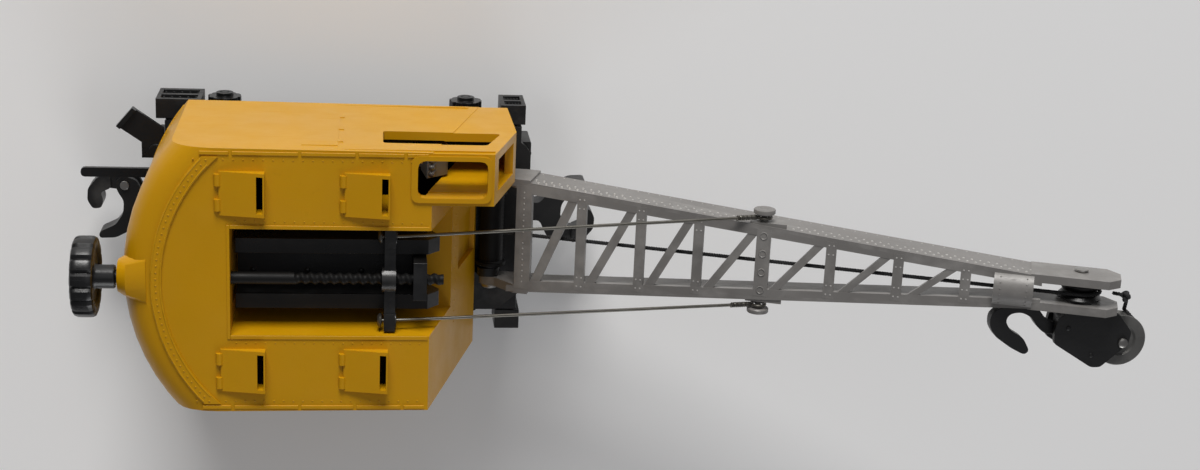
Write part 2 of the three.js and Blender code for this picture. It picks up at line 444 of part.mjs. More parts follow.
for (const [end, k] of [['front', 1], ['rear', -1]]) {
  const X = k * AXLE_X;
  add(`axle_${end}`, rod('y', X, AXLE_Z, 1.6, -27.2, 27.2, 16), STEEL, 0.8, 0.35);
  for (const [side, m] of [['left', 1], ['right', -1]]) {
    const rim = [[0, WHEEL_IN], [FLANGE_R, WHEEL_IN], [FLANGE_R, WHEEL_IN + 1.1], [TREAD_R, WHEEL_IN + 1.7],
      [TREAD_R - 0.3, WHEEL_OUT], [7.9, WHEEL_OUT], [7.4, WHEEL_OUT - 1.4], [3.6, WHEEL_OUT - 1.4], [3.2, WHEEL_OUT + 0.9],
      [0, WHEEL_OUT + 0.9]];
    const wheel = cut(turned(rim, 'y', X, AXLE_Z, 24), rod('y', X, AXLE_Z, 1.95, 0, 30, 16));
    add(`wheel_${end}_${side}`, m > 0 ? wheel : mirrorY(wheel), STEEL, 0.7, 0.4);
    const teeth = [];
    for (let i = 0; i < 40; i += 1) {
      const a = (i * Math.PI) / 20;
      const r = 4.6 - (i % 4 > 2 ? 0.5 : 0);
      teeth.push([X + r * Math.cos(a), AXLE_Z + r * Math.sin(a)]);
    }
    const cap = join(prism(teeth, 'xz', 28.2, 31.4), rod('y', X, AXLE_Z, 3.6, 27.2, 29, 20),
      rod('y', X, AXLE_Z, 2.4, 31, 32.4, 16));
    add(`journal_cap_${end}_${side}`, m > 0 ? cap : mirrorY(cap), BLACK, 0, 0.5);
    const [s0, s1] = k > 0 ? [43, 50] : [-51.4, -39.2];
    const step = cut(join(box(s0, s1, 27.4, 33, 10.4, 12), box(s0, s1, 27.4, 33, 16.6, 18), box(s0, s0 + 1.2, 27.4, 33, 10.4, 23.6),
      box(s1 - 1.2, s1, 27.4, 33, 10.4, 23.6), box(s0, s1, 27.4, 33, 22.4, 23.6), box(s0, s1, 27.4, 28.4, 10.4, 23.6)));
    add(`step_${end}_${side}`, m > 0 ? step : mirrorY(step), BLACK, 0, 0.5);
  }

  // Knuckle coupler, drawn pointing along +X from its pin, then turned to its end of the car
  const place = (s) => s.rotate([0, 0, k > 0 ? 0 : 180]).translate([k * COUPLER_X, 0, COUPLER_Z]);
  const HEAD = rounded([[-3, -2.7], [-3, 2.7], [8.6, 2.7], [11.4, 6.2], [17, 9.2], [21.6, 9.4], [21.6, 7.6], [17, 5.4],
    [14.8, 2], [14.6, -1.6], [16.2, -4.2], [17, -6.8], [14.8, -9], [11, -7.6], [8.6, -2.7]], 0.9);
  const hinge = [14.2, -6.2];
  add(`coupler_${end}`, place(cut(prism(HEAD, 'xy', -3.4, 3.4, 2), rod('z', 0, 0, 1.5, -5, 5, 16),
    rod('z', ...hinge, 5.4, -1.9, 1.9, 24), box(14.2, 22, -12, -1.2, -1.9, 1.9), rod('z', ...hinge, 0.95, -5, 5, 12))),
  BLACK, 0.3, 0.45);
  const NOSE = rounded([[18.1, -9.4], [21.8, -8.2], [24.4, -5], [24.6, -1.6], [23.2, 0.8], [20.8, 0.6], [20.2, -1.6],
    [20.9, -3.9], [18.1, -5.2]], 0.8);
  const ARM = rounded([[12, -8], [17, -9.4], [20, -8.8], [20, -5], [16.8, -4.6], [12, -4.2]], 1);
  add(`knuckle_${end}`, place(cut(join(prism(NOSE, 'xy', -3.2, 3.2, 3), prism(ARM, 'xy', -1.6, 1.6, 3)),
    rod('z', ...hinge, 1, -5, 5, 12))), BLACK, 0.3, 0.45);
  add(`knuckle_pin_${end}`, place(join(rod('z', ...hinge, 0.75, -3.7, 3.9, 12), rod('z', ...hinge, 1.3, 3.7, 4.2, 12))),
    STEEL, 0.7, 0.4);
  add(`coupler_pin_${end}`, place(join(rod('z', 0, 0, 1.2, -4.6, 4.5, 12), rod('z', 0, 0, 2.4, -5.2, -4.2, 16))),
    STEEL, 0.7, 0.4);
}

// Control levers at the tail
const straight = prism(rounded([[-71.5, 11.4, 1.2], [-71.5, 14, 1.2], [-47, 14], [-47, 11.4]], 0.2), 'xy', 25.3, 26.7);
add('lever_forward', join(straight, rod('z', -48.6, 12.7, 1.9, 24.5, 27.4, 16)), BLACK, 0, 0.45);
const bent = prism([[-60.6, 25.2], [-56.2, 30.4], [-49, 25.4], [-49, 17], [-55, 17], [-55, 21.4]], 'xy', 25.3, 26.7);
const tab = prism([[-60.6, 25.2], [-56.2, 30.4], [-57.2, 31.2], [-61.6, 26]], 'xy', 25.3, 28);
add('lever_winch', join(bent, tab, rod('z', -51.2, 19, 1.9, 24.5, 27.4, 16)), BLACK, 0, 0.45);

// Centre-rail pickup under the gear case
add('pickup_bracket', join(box(11.4, 14, -7.2, 7.2, 3.3, 4.3), box(11.4, 19.6, -7.2, -6, 0.9, 4.3),
  box(11.4, 19.6, 6, 7.2, 0.9, 4.3)), STEEL, 0.6, 0.4);
add('pickup_roller', rod('y', 17.6, 2.4, 1.5, -5.7, 5.7, 16), STEEL, 0.7, 0.35);

export default group;
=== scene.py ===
import math

import bmesh
import bpy
from mathutils import Matrix, Vector


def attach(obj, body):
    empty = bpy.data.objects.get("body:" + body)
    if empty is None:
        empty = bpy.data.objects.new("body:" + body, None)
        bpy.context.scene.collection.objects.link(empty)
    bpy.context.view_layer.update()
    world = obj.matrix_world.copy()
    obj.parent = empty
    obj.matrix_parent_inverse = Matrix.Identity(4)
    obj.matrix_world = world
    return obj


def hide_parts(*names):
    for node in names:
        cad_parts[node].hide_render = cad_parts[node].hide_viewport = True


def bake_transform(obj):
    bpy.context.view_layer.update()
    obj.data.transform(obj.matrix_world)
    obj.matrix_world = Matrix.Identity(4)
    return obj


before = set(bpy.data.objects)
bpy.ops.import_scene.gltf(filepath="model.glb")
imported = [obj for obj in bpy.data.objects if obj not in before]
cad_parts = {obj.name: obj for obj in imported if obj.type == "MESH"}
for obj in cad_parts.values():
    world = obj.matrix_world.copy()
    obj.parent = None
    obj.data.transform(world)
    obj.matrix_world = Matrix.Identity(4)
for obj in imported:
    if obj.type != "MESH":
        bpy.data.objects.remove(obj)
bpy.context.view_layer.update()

# Lengths below are millimetres, with z counted from the bottom of the wheel flanges.
# DROP is the height of the stand pad's underside, the row frame's origin, above that.
MM, DROP = 0.001, 3.9
# The boom: its tilt in degrees, x and z of its foot, how fast each web closes in, where its cross members are.
BOOM_TILT = 18.63
TILT = math.radians(BOOM_TILT)
FOOT = (59.9, 45.4)
SLOPE = 0.081
PANELS = [4.6, 21.1, 37.0, 54.6, 72.8, 90.7, 108.4]
# The luffing gear: the screw's height, the cross bar's x, the stays' y at the bar and at the boom, and how far
# along the boom and above its top plane their pins are.
SCREW_Z, BAR_X, STAY_Y, STAY_EYE = 79.0, 12.3, 11.2, 12.3
STAY_S, STAY_T = 54.1, -2.2
# x and z of the boom's pivot and of the head sheave, and the middle of the block's pulley.
PIVOT = (40.8, 31.5)
SHEAVE = (192.969, 82.662)
PIVOT_AT, SHEAVE_AT = (PIVOT[0], 0, PIVOT[1]), (SHEAVE[0], 0, SHEAVE[1])
BLOCK = (206.0, -14.4, 80.3)


def place(p):
    return Vector((p[0] * MM, p[1] * MM, (p[2] - DROP) * MM))


def on_boom(s, y, t):
    """A point s along the boom, y across it and t above its top plane."""
    return (FOOT[0] + s * math.cos(TILT) - t * math.sin(TILT), y,
            FOOT[1] + s * math.sin(TILT) + t * math.cos(TILT))


def boom_dir(s, y, t):
    """The same three parts as a direction."""
    return Vector((s * math.cos(TILT) - t * math.sin(TILT), y, s * math.sin(TILT) + t * math.cos(TILT)))


def half_width(s):
    """Half the boom's width at s: its webs close up towards the head."""
    return 14.82 - SLOPE * s


def arc(cx, cy, r, a0, a1, n):
    """n + 1 points on an arc from a0 to a1 degrees."""
    angles = [math.radians(a0 + (a1 - a0) * i / n) for i in range(n + 1)]
    return [(cx + r * math.cos(a), cy + r * math.sin(a)) for a in angles]


class Shape:
    """Vertices and faces of one piece, in the millimetre coordinates above."""

    def __init__(self):
        self.v, self.f = [], []

    def put(self, verts, faces):
        """Adds verts and the faces that index them."""
        o = len(self.v)
        self.v += [tuple(p) for p in verts]
        self.f += [[i + o for i in f] for f in faces]
        return self

    def box(self, x0, x1, y0, y1, z0, z1):
        corners = [(x0, y0), (x1, y0), (x1, y1), (x0, y1)]
        verts = [(x, y, z0) for x, y in corners] + [(x, y, z1) for x, y in corners]
        faces = [[3, 2, 1, 0], [4, 5, 6, 7]] + [[i, (i + 1) % 4, 4 + (i + 1) % 4, 4 + i] for i in range(4)]
        return self.put(verts, faces)

    def lathe(self, profile, origin, axis, n=48, wobble=None):
        """profile is a list of (radius, height) along axis from origin; the ends are closed."""
        axis = Vector(axis).normalized()
        u = axis.orthogonal().normalized()
        w = axis.cross(u)
        o = Vector(origin)
        verts, faces = [], []
        for r, h in profile:
            for i in range(n):
                a = 2 * math.pi * i / n
                q = wobble(r, h, a) if wobble else r
                verts.append(tuple(o + axis * h + u * (q * math.cos(a)) + w * (q * math.sin(a))))
        for k in range(len(profile) - 1):
            for i in range(n):
                j = (i + 1) % n
                faces.append([k * n + i, k * n + j, (k + 1) * n + j, (k + 1) * n + i])
        faces.append(list(range(n))[::-1])
        faces.append([(len(profile) - 1) * n + i for i in range(n)])
        return self.put(verts, faces)

    def tube(self, points, r, n=10, closed=False):
        """A round bar of radius r along points, with closed ends or joined into a ring."""
        pts = [Vector(p) for p in points]
        m = len(pts)
        verts, faces, last = [], [], None
        for i, p in enumerate(pts):
            a = pts[(i - 1) % m] if closed or i else p
            b = pts[(i + 1) % m] if closed or i < m - 1 else p
            d = (b - a).normalized()
            u = d.orthogonal().normalized() if last is None else (last - d * last.dot(d)).normalized()
            last = u
            w = d.cross(u)
            for k in range(n):
                a = 2 * math.pi * k / n
                verts.append(tuple(p + u * (r * math.cos(a)) + w * (r * math.sin(a))))
        for i in range(m if closed else m - 1):
            j = (i + 1) % m
            faces += [[i * n + k, i * n + (k + 1) % n, j * n + (k + 1) % n, j * n + k] for k in range(n)]
        if not closed:
            faces += [list(range(n))[::-1], [(m - 1) * n + k for k in range(n)]]
        return self.put(verts, faces)

    def dome(self, p, normal, r, h, n=10):
        """A rivet or bolt head of radius r and height h on a surface at p."""
        return self.lathe([(r, -0.1), (r, 0.0), (r * 0.86, h * 0.55), (r * 0.45, h * 0.92), (r * 0.08, h)],
                          p, normal, n)

    def screw_head(self, p, normal, r, h):
        """A round head with a sunk middle."""
        return self.lathe([(r, 0), (r, h * 0.6), (r * 0.88, h), (r * 0.55, h), (r * 0.5, h * 0.7),
                           (r * 0.05, h * 0.7)], p, normal, 20)

    def strands(self, points, r, pitch=2.0, count=3, n=6, step=0.34):
        """A laid cord: count strands twisted round the path."""
        pts = [Vector(p) for p in points]
        walk, total = [], 0.0
        for a, b in zip(pts, pts[1:]):
            length = (b - a).length
            k = max(1, int(length / step))
            walk += [(a.lerp(b, i / k), total + length * i / k, (b - a).normalized()) for i in range(k)]
            total += length
        walk.append((pts[-1], total, (pts[-1] - pts[-2]).normalized()))
        frames, last = [], None
        for p, s, d in walk:
            u = d.orthogonal().normalized() if last is None else (last - d * last.dot(d)).normalized()
            last = u
            frames.append((p, s, u, d.cross(u)))
        for c in range(count):
            path = []
            for p, s, u, w in frames:
                a = 2 * math.pi * (s / pitch + c / count)
                path.append(p + u * (0.48 * r * math.cos(a)) + w * (0.48 * r * math.sin(a)))
            self.tube(path, 0.52 * r, n)
        return self

    def node(self, name, flat=0.6):
        """The outline of a CAD node, with its flat faces joined up, as a base to work on."""
        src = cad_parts[name]
        bm = bmesh.new()
        bm.from_mesh(src.data)
        bm.transform(src.matrix_world)
        bmesh.ops.remove_doubles(bm, verts=bm.verts, dist=2e-6)
        bmesh.ops.dissolve_limit(bm, angle_limit=math.radians(flat), verts=bm.verts, edges=bm.edges)
        bm.verts.ensure_lookup_table()
        verts = [(v.co.x / MM, v.co.y / MM, v.co.z / MM + DROP) for v in bm.verts]
        faces = [[v.index for v in f.verts] for f in bm.faces]
        bm.free()
        return self.put(verts, faces)


def mesh_of(shape, name):
    """A smooth-shaded mesh, in metres in the row frame, with its faces turned outwards."""
    me = bpy.data.meshes.new(name)
    me.from_pydata([tuple(place(p)) for p in shape.v], [], shape.f)
    bm = bmesh.new()
    bm.from_mesh(me)
    bmesh.ops.recalc_face_normals(bm, faces=bm.faces)
    for f in bm.faces:
        f.smooth = True
    bm.to_mesh(me)
    bm.free()
    return me


def piece(name, shape, material, body, nodes=(), bevel=0.25, segments=2, angle=32):
    """Makes the object. Edges sharper than angle degrees are bevelled by bevel mm, or kept sharp if it is 0."""
    obj = bpy.data.objects.new(name, mesh_of(shape, name))
    bpy.context.scene.collection.objects.link(obj)
    bm = bmesh.new()
    bm.from_mesh(obj.data)
    limit = math.radians(angle)
    for e in bm.edges:
        e.smooth = not (len(e.link_faces) == 2 and e.calc_face_angle(0) > limit)
    bm.to_mesh(obj.data)
    bm.free()
    obj.data.materials.clear()
    obj.data.materials.append(material)
    if bevel:
        b = obj.modifiers.new("bevel", "BEVEL")
        b.width, b.segments, b.limit_method = bevel * MM, segments, "ANGLE"
        b.angle_limit, b.harden_normals, b.use_clamp_overlap = limit, True, True
        b.miter_outer = "MITER_ARC"
    if body:
        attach(obj, body)
    if nodes:
        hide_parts(*nodes)
    return obj


# ---------------------------------------------------------------- materials
# sockets of the Mix node in its colour mode
MIX_FACTOR, MIX_A, MIX_B, MIX_RESULT = 0, 6, 7, 2


def material(name, slot, base, rough, metal=0.0, tone=0.06, grain=0.05, grain_scale=900.0, wear=0.0,
             wear_colour=(0.5, 0.48, 0.45), shade_and_dust=0.0, shade_and_dust_colour=(0.5, 0.46, 0.4), spec=0.5, subsurface=0.0,
             scratches=0.25, swirl=None):
    m = bpy.data.materials.new(name)
    m.use_nodes = True
    m["slot"] = slot
    t = m.node_tree
    t.nodes.clear()

    def add(kind, **inputs):
        n = t.nodes.new(kind)
        for k, v in inputs.items():
            n.inputs[k.replace("_", " ")].default_value = v
        return n

    def link(a, out, b, key):
        t.links.new(a.outputs[out], b.inputs[key])

    out = add("ShaderNodeOutputMaterial")
    bsdf = add("ShaderNodeBsdfPrincipled")
    bsdf.inputs["Metallic"].default_value = metal
    bsdf.inputs["Specular IOR Level"].default_value = spec
    if subsurface:
        bsdf.inputs["Subsurface Weight"].default_value = subsurface
        bsdf.inputs["Subsurface Radius"].default_value = (1.0, 0.35, 0.06)
        bsdf.inputs["Subsurface Scale"].default_value = 0.0025
    link(bsdf, "BSDF", out, "Surface")
    where = add("ShaderNodeTexCoord")

    def noise(scale, detail=4.0, rough_=0.55, stretch=None, distort=0.0):
        n = add("ShaderNodeTexNoise", Scale=scale, Detail=detail, Roughness=rough_, Distortion=distort)
        if stretch:
            mp = add("ShaderNodeMapping")
            mp.inputs["Scale"].default_value = stretch[:3]
            mp.inputs["Rotation"].default_value = (0.3, 0.2, stretch[3])
            link(where, "Object", mp, "Vector")
            link(mp, "Vector", n, "Vector")
        else:
            link(where, "Object", n, "Vector")
        return n

    def span(src, lo, hi, a=0.35, b=0.65, out_name="Fac"):
        r = add("ShaderNodeMapRange")
        r.inputs["From Min"].default_value, r.inputs["From Max"].default_value = a, b
        r.inputs["To Min"].default_value, r.inputs["To Max"].default_value = lo, hi
        t.links.new(src.outputs[out_name], r.inputs["Value"])
        return r

    def mix(fac, a, b):
        """Each argument is a (node, output) pair or, for a and b, a plain RGBA colour."""
        n = t.nodes.new("ShaderNodeMix")
        n.data_type = "RGBA"
        for key, val in ((MIX_FACTOR, fac), (MIX_A, a), (MIX_B, b)):
            if len(val) == 2:
                t.links.new(val[0].outputs[val[1]], n.inputs[key])
            else:
                n.inputs[key].default_value = val
        return (n, MIX_RESULT)

    # colour: slow change of tone, fine specks, worn edges, and hollows pulled towards a second colour: dust on
    # the black parts, painted shade on the boom, wire, steel and grey metal
    big = span(noise(28.0, 3.0), 0.0, 1.0)
    dark = tuple(c * (1 - tone * 1.4) for c in base) + (1,)
    light = tuple(min(1, c * (1 + tone)) for c in base) + (1,)
    colour = mix((big, "Result"), dark, light)
    colour = mix((span(noise(520.0, 6.0), 0.0, 0.5, 0.6, 0.72), "Result"), colour,
                 tuple(c * (1 - tone * 2.2) for c in base) + (1,))
    if wear:
        geo = add("ShaderNodeNewGeometry")
        edge = span(geo, 0.0, 1.0, 0.53, 0.6, "Pointiness")
        broken = add("ShaderNodeMath")
        broken.operation = "MULTIPLY"
        link(edge, "Result", broken, 0)
        link(span(noise(160.0, 6.0), 0.0, wear, 0.42, 0.62), "Result", broken, 1)
        colour = mix((broken, "Value"), colour, wear_colour + (1,))
    # hollows take a second colour: painted shade where it is darker than the base (boom, wire, steel, grey
    # metal), dust where it is lighter (black plastic and die-cast)
    if shade_and_dust:
        geo = add("ShaderNodeNewGeometry")
        hollow = span(geo, shade_and_dust, 0.0, 0.40, 0.49, "Pointiness")
        shade_and_dust_amount = add("ShaderNodeMath")
        shade_and_dust_amount.operation = "MULTIPLY"
        link(hollow, "Result", shade_and_dust_amount, 0)
        link(span(noise(90.0, 5.0), 0.3, 1.0), "Result", shade_and_dust_amount, 1)
        colour = mix((shade_and_dust_amount, "Value"), colour, shade_and_dust_colour + (1,))
    link(*colour, bsdf, "Base Color")

    # roughness: soft patches with fine scratches over them
    base_rough = span(noise(70.0, 6.0), rough * 0.82, min(1, rough * 1.22))
    lines = span(noise(1.0, 2.0, 0.5, (60.0, 2600.0, 1800.0, 0.5)), 0.0, scratches * 0.5, 0.62, 0.75)
    total = add("ShaderNodeMath")
    total.operation = "ADD"
    total.use_clamp = True
    link(base_rough, "Result", total, 0)
    link(lines, "Result", total, 1)
    link(total, "Value", bsdf, "Roughness")

    # bump: surface grain on a slow wave, and the lay of a cord
    height = noise(grain_scale, 3.0)
    bump = add("ShaderNodeBump", Strength=grain, Distance=0.0002)
    link(height, "Fac", bump, "Height")
    wave = add("ShaderNodeBump", Strength=0.12, Distance=0.0006)
    link(noise(36.0, 2.0), "Fac", wave, "Height")
    t.links.new(bump.outputs["Normal"], wave.inputs["Normal"])
    if swirl:
        w = add("ShaderNodeTexWave", Scale=swirl, Distortion=1.5, Detail=3.0)
        link(where, "Object", w, "Vector")
        third = add("ShaderNodeBump", Strength=0.15, Distance=0.0002)
        link(w, "Fac", third, "Height")
        t.links.new(wave.outputs["Normal"], third.inputs["Normal"])
        wave = third
    link(wave, "Normal", bsdf, "Normal")
    return m


YELLOW = material("moulded_yellow", "cab_plastic", (0.54, 0.268, 0.0015), 0.36, tone=0.03, grain=0.10,
                  grain_scale=1400.0, spec=0.32, subsurface=0.05, scratches=0.35)
BLACK = material("moulded_black", "black_plastic", (0.0055, 0.0055, 0.006), 0.32, tone=0.25, grain=0.12,
                 grain_scale=1300.0, wear=0.35, wear_colour=(0.035, 0.035, 0.034), shade_and_dust=0.08,
                 shade_and_dust_colour=(0.03, 0.029, 0.027), scratches=0.35)
DULL = material("dull_black", "black_plastic", (0.004, 0.004, 0.0042), 0.55, tone=0.2, grain=0.15,
                grain_scale=1300.0, spec=0.22, scratches=0.3)
DIECAST = material("painted_diecast", "black_diecast", (0.007, 0.007, 0.0075), 0.44, tone=0.25, grain=0.32,
                   grain_scale=620.0, wear=0.45, wear_colour=(0.07, 0.068, 0.066), shade_and_dust=0.1,
                   shade_and_dust_colour=(0.04, 0.038, 0.036), scratches=0.4)
# here and in the wire, steel and dull metal below, the darker hollow colour is painted shade
BOOM = material("boom_paint", "boom_plastic", (0.19, 0.182, 0.174), 0.42, metal=0.1, tone=0.05, grain=0.12,
                grain_scale=1600.0, wear=0.3, wear_colour=(0.36, 0.35, 0.335), shade_and_dust=0.3,
                shade_and_dust_colour=(0.10, 0.096, 0.09), scratches=0.35)
# the boom's own plastic, painted much lighter on the rivets as a painted highlight
RIVET_PAINTED_HIGHLIGHT = material("rivets_painted_highlight", "boom_plastic", (0.46, 0.45, 0.43), 0.35, metal=0.2, tone=0.06, grain=0.1,
                  grain_scale=1600.0, wear=0.2, wear_colour=(0.7, 0.69, 0.67), scratches=0.3)
WIRE = material("drawn_wire", "steel", (0.135, 0.128, 0.112), 0.36, metal=0.9, tone=0.14, grain=0.1,
                grain_scale=1500.0, wear=0.3, wear_colour=(0.3, 0.29, 0.27), shade_and_dust=0.2,
                shade_and_dust_colour=(0.05, 0.045, 0.04), scratches=0.5)
STEEL = material("bright_steel", "steel", (0.42, 0.41, 0.39), 0.3, metal=1.0, tone=0.12, grain=0.1,
                 grain_scale=1500.0, wear=0.3, wear_colour=(0.7, 0.69, 0.66), shade_and_dust=0.3,
                 shade_and_dust_colour=(0.12, 0.11, 0.1), scratches=0.5)
GREY = material("dull_metal", "grey_metal", (0.15, 0.148, 0.142), 0.42, metal=0.6, tone=0.14, grain=0.2,
                grain_scale=900.0, wear=0.4, wear_colour=(0.34, 0.335, 0.32), shade_and_dust=0.2,
                shade_and_dust_colour=(0.08, 0.078, 0.07), scratches=0.5)
CORD = material("black_cord", "black_cord", (0.012, 0.012, 0.013), 0.72, tone=0.3, grain=0.4, grain_scale=2400.0,
                scratches=0.1, swirl=900.0)

# ---------------------------------------------------------------- cab
# ROOF is the roof's height, HALF the flat sides' distance from the middle, TAIL_R the tail's radius,
# BAND the two edges of the raised band on the roof and BOSS_X where the screw's boss ends.
ROOF, HALF, TAIL_R, BAND, BOSS_X = 83.0, 34.0, 54.3, (44.5, 46.7), -48.0
cab = Shape().node("cab_shell")
# the boss round the screw runs out into the roof
cab.v = [(x, y, ROOF) if abs(x - BOSS_X) < 0.05 and z > ROOF else (x, y, z) for x, y, z in cab.v]
piece("cab_shell", cab, YELLOW, "upper_works", ["cab_shell"], bevel=0.45, segments=3, angle=24)

trim = Shape()
# raised lips in lengths along both long roof edges
for x0, x1 in ((-34.5, -27.4), (-26.6, -10.6), (-9.8, 3.4), (4.2, 15.4), (16.2, 21.4)):
    for s in (1, -1):
        y0, y1 = (32.9, 33.8) if s > 0 else (-33.8, -32.9)
        trim.box(x0, x1, y0, y1, ROOF - 0.2, ROOF + 0.3)
# slim frame lips round the recess and the roof window
for y in (14.0, -15.0):
    trim.box(-27.4, 22.0, y, y + 1.0, ROOF - 0.2, ROOF + 0.25)
trim.box(-28.2, -27.4, -15, 15, ROOF - 0.2, ROOF + 0.25)
# rounded edges of the raised band round the tail
for r in BAND:
    trim.tube([(x, y, ROOF + 0.3) for x, y in arc(0, 0, r, 137, 223, 64)], 0.3, 8)
piece("cab_roof_trim", trim, YELLOW, "upper_works", bevel=0.14)

# rivets on the tail's band, along the roof edges and the recess, and on the flat sides
rivets = Shape()
for k in range(44):
    a = math.radians(134 + k * 92 / 43)
    x, y = 45.6 * math.cos(a), 45.6 * math.sin(a)
    if abs(y) < 32:
        rivets.dome((x, y, ROOF + 0.42), (0, 0, 1), 0.3, 0.2, 8)
for s in (1, -1):
    for k in range(24):
        rivets.dome((-36 + k * 2.42, s * 31.7, ROOF), (0, 0, 1), 0.24, 0.16, 8)
    for k in range(20):
        rivets.dome((-26 + 46 * k / 19, s * 16.0, ROOF), (0, 0, 1), 0.22, 0.14, 8)
    for k in range(22):
        x = -13 + 2.05 * k
        rivets.dome((x, s * HALF, 34.9), (0, s, 0), 0.28, 0.22, 8)
        if s < 0 or x < -11:
            rivets.dome((x * 0.78 - 2.2, s * HALF, 80.0), (0, s, 0), 0.28, 0.22, 8)
    for k in range(13):
        z = 36.8 + 3.4 * k
        rivets.dome((-13, s * HALF, z), (0, s, 0), 0.26, 0.18, 8)
# a row across the slanted front
for k in range(12):
    rivets.dome((29.72, -19.5 + 3.0 * k, 56.0), (1, 0, 0.27), 0.26, 0.18, 8)
# seams proud of the flat sides and, with its rivets, round the foot of the tail
seams = Shape()
for s in (1, -1):
    y0, y1 = (33.8, 34.4) if s > 0 else (-34.4, -33.8)
    seams.box(-41.0, 33.4, y0, y1, 32.4, 33.5)
    seams.box(-15.0, -14.2, y0, y1, 33.0, 81.6)
    seams.box(-33.0, 20.4 if s < 0 else 0.2, y0, y1, 80.7, 81.6)
for x in (-6.0, 14.0):
    seams.box(x, x + 0.8, -34.4, -33.8, 33.0, 36.0 if x > 0 else 81.6)
    seams.box(x, x + 0.8, -34.4, -33.8, 76.0, 81.6)
seams.tube([(x, y, 32.95) for x, y in arc(0, 0, 53.95, 142, 218, 40)], 0.55, 10)
for a in range(146, 216, 2):
    c, w = math.cos(math.radians(a)), math.sin(math.radians(a))
    rivets.dome((TAIL_R * c, TAIL_R * w, 35.0), (c, w, 0), 0.28, 0.2, 8)
# grab handles beside the tail and the hinges of the side door
for x, z0, z1 in ((-12.0, 46.0, 60.0), (-8.8, 50.0, 62.0)):
    seams.tube([(x, -33.7, z0), (x, -34.28, z0 + 0.5), (x, -34.28, z1 - 0.5), (x, -33.7, z1)], 0.26, 8)
for z in (47.0, 60.0, 73.0):
    seams.box(-1.4, 0.2, 33.9, 34.55, z - 1.1, z + 1.1)
    seams.box(21.4, 23.0, -34.5, -33.9, z - 9.1, z - 6.9)
piece("cab_seams", seams, YELLOW, "upper_works", bevel=0.1)
piece("cab_rivets", rivets, YELLOW, "upper_works", bevel=0)

# black channel, bearing, platform and the other parts that turn with the cab
channel = Shape().node("screw_channel")
for s in (1, -1):
    for x in (-23, -9, 5):
        channel.dome((x, s * 3.2, 62.6), (0, 0, 1), 0.8, 0.35, 12)
piece("screw_channel", channel, BLACK, "upper_works", ["screw_channel"], bevel=0.7, segments=3, angle=40)
piece("turntable_platform", Shape().node("turntable_platform"), BLACK, "upper_works", ["turntable_platform"],
      bevel=0.3)
console = Shape().node("operator_console")
for y in (25.2, 27.0, 28.8):
    console.tube([(23.6, y, 65.5), (22.6, y, 70.5)], 0.42, 8)
    console.dome((22.55, y, 70.2), (-0.2, 0, 1), 0.85, 0.9, 12)
piece("operator_console", console, GREY, "upper_works", ["operator_console"], bevel=0.4)
pin = Shape().lathe([(0.4, -17.6), (1.9, -17.6), (2.5, -17.2), (2.6, -16.6), (2.6, -16.5), (1.5, -16.5),
                     (1.5, 16.5), (2.6, 16.5), (2.6, 16.6), (2.5, 17.2), (1.9, 17.6), (0.4, 17.6)],
                    PIVOT_AT, (0, 1, 0), 40)
piece("boom_pivot_pin", pin, STEEL, "upper_works", ["boom_pivot_pin"], bevel=0)

# lead screw and handwheel
THREAD_PITCH, THREAD_DEPTH = 2.4, 0.46


def thread(r, h, a):
    """Radius of the screw at height h and angle a: plain to the rear, threaded to the front."""
    if h < -11.5 or h > 25.2 or r < 1.5:
        return r
    ph = (h / THREAD_PITCH - a / (2 * math.pi)) % 1.0
    dip = THREAD_DEPTH * (0.5 - 0.5 * math.cos(2 * math.pi * ph)) ** 0.8
    return r - dip


heights = [-60.4] + [-58.5 + 6 * i for i in range(8)] + [-12 + 0.3 * i for i in range(125)]
screw = Shape().lathe([(0.3, -60.8)] + [(1.58, h) for h in heights] + [(1.3, 25.9), (0.2, 25.9)],
                      (0, 0, SCREW_Z), (1, 0, 0), 28, thread)
piece("lead_screw", screw, DULL, "luffing_screw", ["lead_screw"], bevel=0)

GROOVES, GROOVE_DEPTH = 16, 0.62


def knurl(r, h, a):
    """Radius of the handwheel at angle a: grooved across the rim."""
    if r < 9.2:
        return r
    return r - (GROOVE_DEPTH * max(0.0, math.cos(GROOVES * a)) ** 3)


hand = Shape().lathe([(0.4, -63.1), (2.3, -63.1), (2.6, -63.3), (2.7, -64.1), (3.0, -64.25), (7.0, -64.25),
                      (7.5, -64.45), (7.9, -65.1), (8.3, -65.6), (8.8, -65.8), (9.4, -65.75), (9.9, -65.4),
                      (10.15, -64.8), (10.2, -64.0), (10.2, -61.8), (10.15, -61.1), (9.9, -60.5),
                      (9.3, -60.25), (8.2, -60.2), (7.6, -60.5), (7.2, -61.0), (4.0, -61.0), (3.3, -60.8),
                      (3.0, -60.2), (3.0, -56.2), (2.85, -55.9), (2.5, -55.8), (0.4, -55.8)],
                     (0, 0, SCREW_Z), (1, 0, 0), 160, knurl)
piece("luffing_handwheel", hand, BLACK, "luffing_screw", ["luffing_handwheel"], bevel=0)

bar = Shape().node("cross_bar")
for s in (1, -1):
    bar.lathe([(1.6, 0), (2.1, 0), (2.1, 0.22), (1.9, 0.34), (1.6, 0.34)],
              (BAR_X + 1.38, s * STAY_Y, SCREW_Z), (1, 0, 0), 24)
piece("cross_bar", bar, BLACK, "luffing_bar", ["cross_bar"], bevel=0.35, segments=3)

